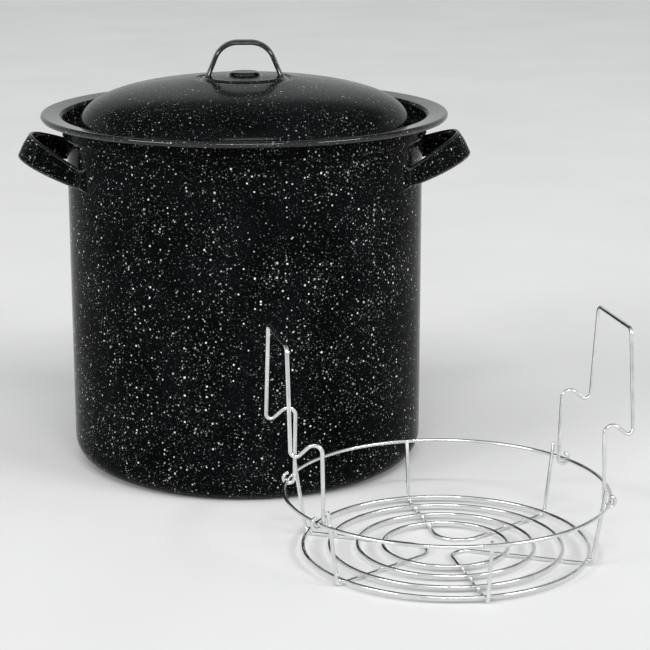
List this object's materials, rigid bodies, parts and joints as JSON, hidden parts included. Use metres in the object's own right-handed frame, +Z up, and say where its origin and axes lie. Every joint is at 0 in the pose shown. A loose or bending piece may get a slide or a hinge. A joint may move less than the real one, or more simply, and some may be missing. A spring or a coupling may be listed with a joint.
{
  "type": "water bath canner",
  "caption": "Tall straight-sided enamelled stock pot with a wide rolled rim, strap side handles, a domed inset lid with an arched handle, and a round wire jar rack with hinged hook handles",
  "frame": {"origin": "centre of the pot's flat base, on the surface it stands on", "axes": "+Z up; the two side handles are at -X and +X; the rack stands in front, towards -Y and +X"},
  "size_m": [0.448, 0.518, 0.3364],
  "materials": {
    "pot_enamel": "glossy black vitreous enamel with white speckles",
    "lid_enamel": "glossy black vitreous enamel with fine white speckles",
    "chrome_wire": "bright plated steel wire"
  },
  "bodies": {
    "pot": {"pot_body": "pot_enamel", "side_handle_left": "pot_enamel", "side_handle_right": "pot_enamel"},
    "lid": {"lid_dome": "lid_enamel", "lid_handle": "lid_enamel"},
    "rack": {"rack_top_ring": "chrome_wire", "rack_base_ring_1": "chrome_wire", "rack_base_ring_2": "chrome_wire", "rack_base_ring_3": "chrome_wire", "rack_base_ring_4": "chrome_wire", "rack_support_wire_back": "chrome_wire", "rack_support_wire_front": "chrome_wire", "rack_support_wire_left": "chrome_wire"},
    "rack_handle_right": {"rack_handle_right": "chrome_wire"},
    "rack_handle_left": {"rack_handle_left": "chrome_wire"}
  },
  "joints": [
    {"name": "lid_lift", "type": "slide", "parent": "pot", "child": "lid", "axis": [0, 0, 1], "range_m": [0, 0.15]},
    {"name": "rack_lift", "type": "slide", "parent": "pot", "child": "rack", "axis": [0, 0, 1], "range_m": [0, 0.33]},
    {"name": "rack_handle_right_hinge", "type": "hinge", "parent": "rack", "child": "rack_handle_right", "pos_m": [0.2422, -0.223, 0.0455], "axis": [-0.1736, 0.9848, 0], "range_deg": [-60, 80]},
    {"name": "rack_handle_left_hinge", "type": "hinge", "parent": "rack", "child": "rack_handle_left", "pos_m": [0.0378, -0.259, 0.0455], "axis": [0.1736, -0.9848, 0], "range_deg": [-60, 80]}
  ]
}
